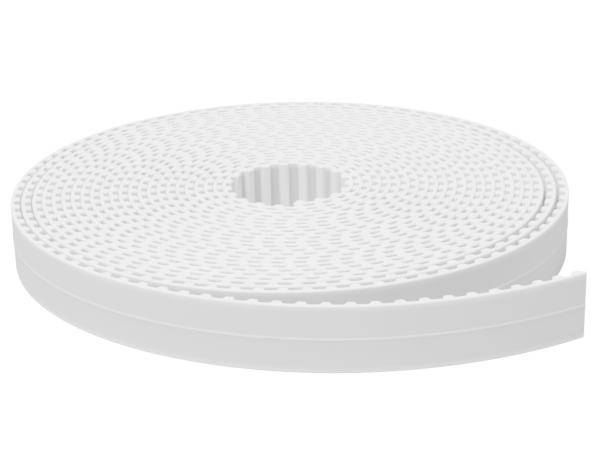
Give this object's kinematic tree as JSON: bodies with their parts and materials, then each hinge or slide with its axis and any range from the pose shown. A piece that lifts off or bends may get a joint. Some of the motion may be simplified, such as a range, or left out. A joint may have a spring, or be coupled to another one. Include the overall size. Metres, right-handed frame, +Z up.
{
  "type": "timing belt",
  "caption": "Open-ended toothed belt wound into a flat coil on its edge, teeth inwards, with a free tail that flexes tooth by tooth; steel tension cords run inside.",
  "frame": {"origin": "middle of the coil's eye, on the surface that the belt's lower edge rests on", "axes": "+Z up, across the belt's width; -Y towards the side where the free tail peels off; the tail opens towards +X"},
  "size_m": [0.2628, 0.2757, 0.03],
  "materials": {
    "polyurethane": "satin",
    "steel_cord": "stranded, bright"
  },
  "bodies": {
    "coil": {"belt_coil": "polyurethane", "coil_cord_01": "steel_cord", "coil_cord_02": "steel_cord", "coil_cord_03": "steel_cord", "coil_cord_04": "steel_cord", "coil_cord_05": "steel_cord", "coil_cord_06": "steel_cord", "coil_cord_07": "steel_cord", "coil_cord_08": "steel_cord", "coil_cord_09": "steel_cord", "coil_cord_10": "steel_cord", "coil_cord_11": "steel_cord", "coil_cord_12": "steel_cord", "coil_cord_13": "steel_cord", "coil_cord_14": "steel_cord", "coil_cord_15": "steel_cord", "coil_cord_16": "steel_cord"},
    "link_01": {"tail_link_01": "polyurethane", "tail_cords_01": "steel_cord"},
    "link_02": {"tail_link_02": "polyurethane", "tail_cords_02": "steel_cord"},
    "link_03": {"tail_link_03": "polyurethane", "tail_cords_03": "steel_cord"},
    "link_04": {"tail_link_04": "polyurethane", "tail_cords_04": "steel_cord"},
    "link_05": {"tail_link_05": "polyurethane", "tail_cords_05": "steel_cord"},
    "link_06": {"tail_link_06": "polyurethane", "tail_cords_06": "steel_cord"},
    "link_07": {"tail_link_07": "polyurethane", "tail_cords_07": "steel_cord"},
    "link_08": {"tail_link_08": "polyurethane", "tail_cords_08": "steel_cord"},
    "link_09": {"tail_link_09": "polyurethane", "tail_cords_09": "steel_cord"},
    "link_10": {"tail_link_10": "polyurethane", "tail_cords_10": "steel_cord"},
    "link_11": {"tail_link_11": "polyurethane", "tail_cords_11": "steel_cord"},
    "link_12": {"tail_link_12": "polyurethane", "tail_cords_12": "steel_cord"},
    "link_13": {"tail_link_13": "polyurethane", "tail_cords_13": "steel_cord"},
    "link_14": {"tail_link_14": "polyurethane", "tail_cords_14": "steel_cord"},
    "link_15": {"tail_link_15": "polyurethane", "tail_cords_15": "steel_cord"},
    "link_16": {"tail_link_16": "polyurethane", "tail_cords_16": "steel_cord"}
  },
  "joints": [
    {"name": "tail_bend_01", "type": "hinge", "parent": "coil", "child": "link_01", "pos_m": [-0.03059, -0.13384, 0.015], "axis": [0, 0, -1], "range_deg": [-0.6, 14], "stiffness_Nm_per_rad": 0.1},
    {"name": "tail_bend_02", "type": "hinge", "parent": "link_01", "child": "link_02", "pos_m": [-0.02108, -0.13691, 0.015], "axis": [0, 0, -1], "range_deg": [-0.6, 14], "stiffness_Nm_per_rad": 0.1},
    {"name": "tail_bend_03", "type": "hinge", "parent": "link_02", "child": "link_03", "pos_m": [-0.01139, -0.1394, 0.015], "axis": [0, 0, -1], "range_deg": [-0.6, 14], "stiffness_Nm_per_rad": 0.1},
    {"name": "tail_bend_04", "type": "hinge", "parent": "link_03", "child": "link_04", "pos_m": [-0.00158, -0.1413, 0.015], "axis": [0, 0, -1], "range_deg": [-0.6, 14], "stiffness_Nm_per_rad": 0.1},
    {"name": "tail_bend_05", "type": "hinge", "parent": "link_04", "child": "link_05", "pos_m": [0.00834, -0.1426, 0.015], "axis": [0, 0, -1], "range_deg": [-0.6, 14], "stiffness_Nm_per_rad": 0.1},
    {"name": "tail_bend_06", "type": "hinge", "parent": "link_05", "child": "link_06", "pos_m": [0.01831, -0.14329, 0.015], "axis": [0, 0, -1], "range_deg": [-0.6, 14], "stiffness_Nm_per_rad": 0.1},
    {"name": "tail_bend_07", "type": "hinge", "parent": "link_06", "child": "link_07", "pos_m": [0.02831, -0.14338, 0.015], "axis": [0, 0, -1], "range_deg": [-0.6, 14], "stiffness_Nm_per_rad": 0.1},
    {"name": "tail_bend_08", "type": "hinge", "parent": "link_07", "child": "link_08", "pos_m": [0.0383, -0.14287, 0.015], "axis": [0, 0, -1], "range_deg": [-0.6, 14], "stiffness_Nm_per_rad": 0.1},
    {"name": "tail_bend_09", "type": "hinge", "parent": "link_08", "child": "link_09", "pos_m": [0.04823, -0.14175, 0.015], "axis": [0, 0, -1], "range_deg": [-0.6, 14], "stiffness_Nm_per_rad": 0.1},
    {"name": "tail_bend_10", "type": "hinge", "parent": "link_09", "child": "link_10", "pos_m": [0.05809, -0.14007, 0.015], "axis": [0, 0, -1], "range_deg": [-0.6, 14], "stiffness_Nm_per_rad": 0.1},
    {"name": "tail_bend_11", "type": "hinge", "parent": "link_10", "child": "link_11", "pos_m": [0.06784, -0.13787, 0.015], "axis": [0, 0, -1], "range_deg": [-0.6, 14], "stiffness_Nm_per_rad": 0.1},
    {"name": "tail_bend_12", "type": "hinge", "parent": "link_11", "child": "link_12", "pos_m": [0.07746, -0.13514, 0.015], "axis": [0, 0, -1], "range_deg": [-0.6, 14], "stiffness_Nm_per_rad": 0.1},
    {"name": "tail_bend_13", "type": "hinge", "parent": "link_12", "child": "link_13", "pos_m": [0.08692, -0.13189, 0.015], "axis": [0, 0, -1], "range_deg": [-0.6, 14], "stiffness_Nm_per_rad": 0.1},
    {"name": "tail_bend_14", "type": "hinge", "parent": "link_13", "child": "link_14", "pos_m": [0.09619, -0.12814, 0.015], "axis": [0, 0, -1], "range_deg": [-0.6, 14], "stiffness_Nm_per_rad": 0.1},
    {"name": "tail_bend_15", "type": "hinge", "parent": "link_14", "child": "link_15", "pos_m": [0.10524, -0.12389, 0.015], "axis": [0, 0, -1], "range_deg": [-0.6, 14], "stiffness_Nm_per_rad": 0.1},
    {"name": "tail_bend_16", "type": "hinge", "parent": "link_15", "child": "link_16", "pos_m": [0.11405, -0.11916, 0.015], "axis": [0, 0, -1], "range_deg": [-0.6, 14], "stiffness_Nm_per_rad": 0.1}
  ]
}
